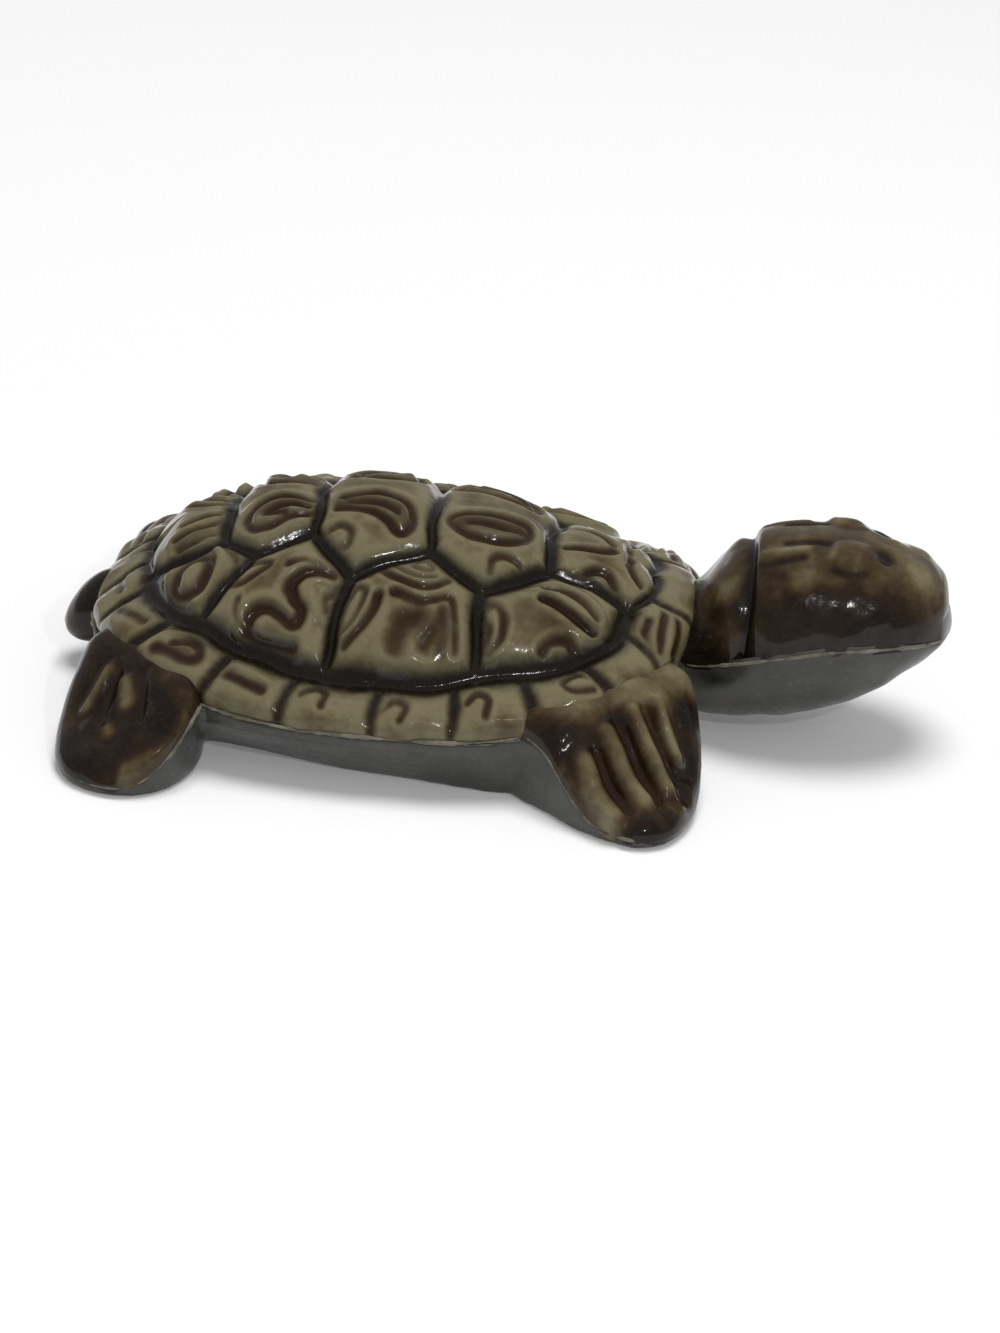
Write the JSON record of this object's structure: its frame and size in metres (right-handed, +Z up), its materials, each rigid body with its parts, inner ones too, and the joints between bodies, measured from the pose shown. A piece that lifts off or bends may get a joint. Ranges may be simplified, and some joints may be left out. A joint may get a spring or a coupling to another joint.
{
  "type": "turtle figurine",
  "caption": "Small glazed ceramic turtle with a domed, plated shell, flippers, a blunt tail and a raised head, a free-standing shelf ornament.",
  "frame": {"origin": "middle of the shell seen from above, at the level of the surface that the turtle stands on", "axes": "+X towards the nose, +Y towards the turtle's left, +Z up"},
  "size_m": [0.0899, 0.0594, 0.0226],
  "materials": {
    "honey_glaze": "gloss",
    "grey_glaze": "gloss"
  },
  "bodies": {
    "root": {"carapace": "honey_glaze", "belly": "grey_glaze", "head": "honey_glaze", "throat": "grey_glaze", "tail": "honey_glaze", "front_flipper_right": "honey_glaze", "front_flipper_left": "honey_glaze", "rear_flipper_right": "honey_glaze", "rear_flipper_left": "honey_glaze"}
  },
  "joints": []
}
